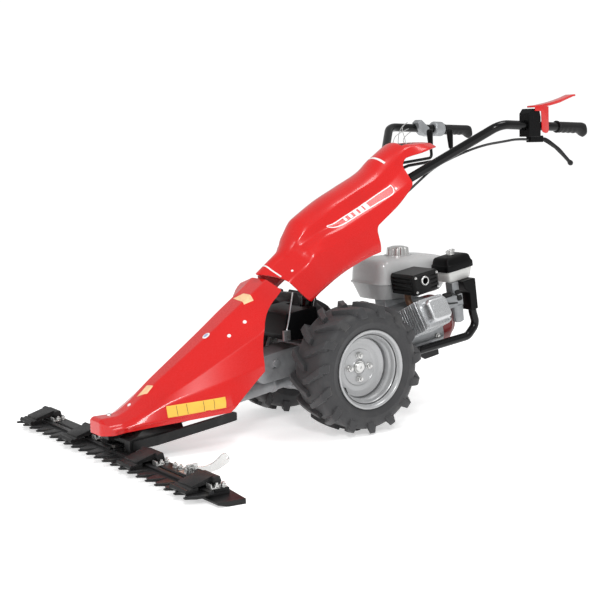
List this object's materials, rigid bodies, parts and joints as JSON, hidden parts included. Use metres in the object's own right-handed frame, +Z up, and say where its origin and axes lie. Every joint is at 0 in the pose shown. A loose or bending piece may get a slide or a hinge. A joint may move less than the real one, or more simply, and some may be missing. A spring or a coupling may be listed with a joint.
{
  "type": "sickle bar mower",
  "caption": "Walk-behind sickle bar mower: engine behind two lugged tyres, red hood and front cover, long handlebar and a reciprocating knife on a wide cutter bar",
  "frame": {"origin": "bottom centre of the bounding box, on the ground between the wheels", "axes": "+X forwards, towards the cutter bar; +Y to the left of somebody at the handlebar; +Z up"},
  "size_m": [1.697, 1.226, 1.001],
  "materials": {
    "black_iron": "painted black casting",
    "black_paint": "satin paint",
    "black_plastic": "moulded",
    "bright_casting": "as cast",
    "brown_steel": "heat stained",
    "dark_red_paint": "gloss moulded cover",
    "grey_casting": "as cast",
    "grey_iron": "silver paint on a casting",
    "grip_rubber": "moulded",
    "muffler_paint": "satin paint",
    "pale_plastic": "moulded",
    "red_paint": "gloss paint",
    "red_panel": "gloss moulded panel",
    "red_sheet": "gloss paint on pressed sheet",
    "silver_paint": "gloss paint",
    "steel": "ground",
    "tank_paint": "gloss moulded tank",
    "tyre": "moulded",
    "zinc": "zinc plated"
  },
  "bodies": {
    "frame": {"air_base": "pale_plastic", "air_cleaner": "black_plastic", "bar_carrier": "black_iron", "carburettor": "grey_casting", "clutch_cable": "black_plastic", "clutch_lever": "black_paint", "column": "black_paint", "console": "black_plastic", "control_box": "black_plastic", "cover_arms": "black_paint", "crankcase": "grey_casting", "cutter_beam": "black_paint", "cylinder": "bright_casting", "drive_housing": "grey_iron", "end_shoes": "black_paint", "engine_bracket": "black_paint", "exhaust_pipe": "brown_steel", "finger_bar": "black_iron", "front_cover": "red_sheet", "fuel_cap": "zinc", "fuel_tank": "tank_paint", "gear_case": "grey_casting", "gear_knobs": "black_plastic", "gear_levers": "black_paint", "guard_tube": "black_paint", "hood": "red_panel", "hood_bracket": "black_paint", "intake_duct": "black_plastic", "knife_holders": "black_iron", "left_grip": "grip_rubber", "left_handlebar": "black_paint", "left_hood_side": "red_panel", "left_hood_skirt": "red_panel", "muffler": "muffler_paint", "recoil_starter": "dark_red_paint", "right_grip": "grip_rubber", "right_handlebar": "black_paint", "right_hood_side": "red_panel", "right_hood_skirt": "red_panel", "shift_rod": "steel", "side_box": "black_plastic", "stop_lever": "red_paint", "swath_bracket": "zinc", "swath_lever": "zinc", "throttle_bracket": "grey_casting", "throttle_clamp": "grey_casting", "valve_cover": "bright_casting", "yoke": "black_paint"},
    "left_wheel": {"left_tyre": "tyre", "left_rim": "silver_paint", "left_hub": "steel"},
    "right_wheel": {"right_tyre": "tyre", "right_rim": "silver_paint", "right_hub": "steel"},
    "knife": {"knife": "steel"},
    "drive_lever": {"drive_lever": "steel"}
  },
  "joints": [
    {"name": "left_wheel_turn", "type": "hinge", "parent": "frame", "child": "left_wheel", "pos_m": [0.0535, 0, 0.199], "axis": [0, 1, 0], "continuous": true},
    {"name": "right_wheel_turn", "type": "hinge", "parent": "frame", "child": "right_wheel", "pos_m": [0.0535, 0, 0.199], "axis": [0, 1, 0], "continuous": true},
    {"name": "knife_slide", "type": "slide", "parent": "frame", "child": "knife", "axis": [0, 1, 0], "range_m": [-0.0508, 0]},
    {"name": "lever_swing", "type": "hinge", "parent": "frame", "child": "drive_lever", "pos_m": [0.6575, 0, 0.039], "axis": [0, 0, 1], "range_deg": [-23.2, 0]}
  ],
  "couplings": [
    {"joint": "lever_swing", "follows": "knife_slide", "rad_per_m": 7.9365}
  ]
}
